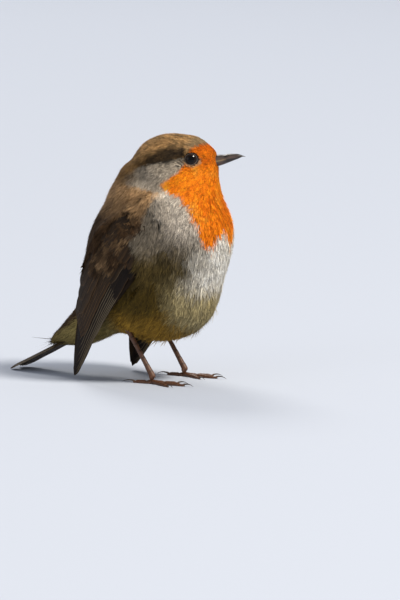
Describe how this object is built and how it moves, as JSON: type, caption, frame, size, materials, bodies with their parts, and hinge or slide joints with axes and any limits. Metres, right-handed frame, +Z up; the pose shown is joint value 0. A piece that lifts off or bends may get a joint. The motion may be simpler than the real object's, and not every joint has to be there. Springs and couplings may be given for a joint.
{
  "type": "robin",
  "caption": "Life-size still model of a small songbird with an orange face and breast, standing upright with its head turned to its left, wings hanging and tail laid on the floor.",
  "frame": {"origin": "middle of the underside of the whole bird's box, at floor level, between the toe and tail tips and the wings", "axes": "+X the way the body faces, +Y to the bird's left, +Z up"},
  "size_m": [0.098, 0.0536, 0.0952],
  "materials": {
    "head_plumage": "matte orange face feathers under an olive-brown crown",
    "neck_plumage": "matte orange throat and grey-brown neck feathers",
    "body_plumage": "matte olive-brown, grey and buff-white body feathers",
    "flight_feathers": "dark brown wing and tail feathers with olive fringes, low sheen",
    "horn": "smooth dark horn, low gloss",
    "eye": "wet near-black brown eye, high gloss",
    "leg_skin": "reddish-brown scaly leg skin, low sheen",
    "claw": "dark brown horn, low gloss"
  },
  "bodies": {
    "root": {"head": "head_plumage", "neck": "neck_plumage", "trunk": "body_plumage", "rump": "body_plumage", "bill_upper": "horn", "bill_lower": "horn", "eye_left": "eye", "wing_left": "flight_feathers", "tail_left": "flight_feathers", "thigh_left": "body_plumage", "tarsus_left": "leg_skin", "hallux_left": "leg_skin", "hallux_claw_left": "claw", "inner_toe_left": "leg_skin", "inner_toe_claw_left": "claw", "middle_toe_left": "leg_skin", "middle_toe_claw_left": "claw", "outer_toe_left": "leg_skin", "outer_toe_claw_left": "claw", "eye_right": "eye", "wing_right": "flight_feathers", "tail_right": "flight_feathers", "thigh_right": "body_plumage", "tarsus_right": "leg_skin", "hallux_right": "leg_skin", "hallux_claw_right": "claw", "inner_toe_right": "leg_skin", "inner_toe_claw_right": "claw", "middle_toe_right": "leg_skin", "middle_toe_claw_right": "claw", "outer_toe_right": "leg_skin", "outer_toe_claw_right": "claw"}
  },
  "joints": []
}
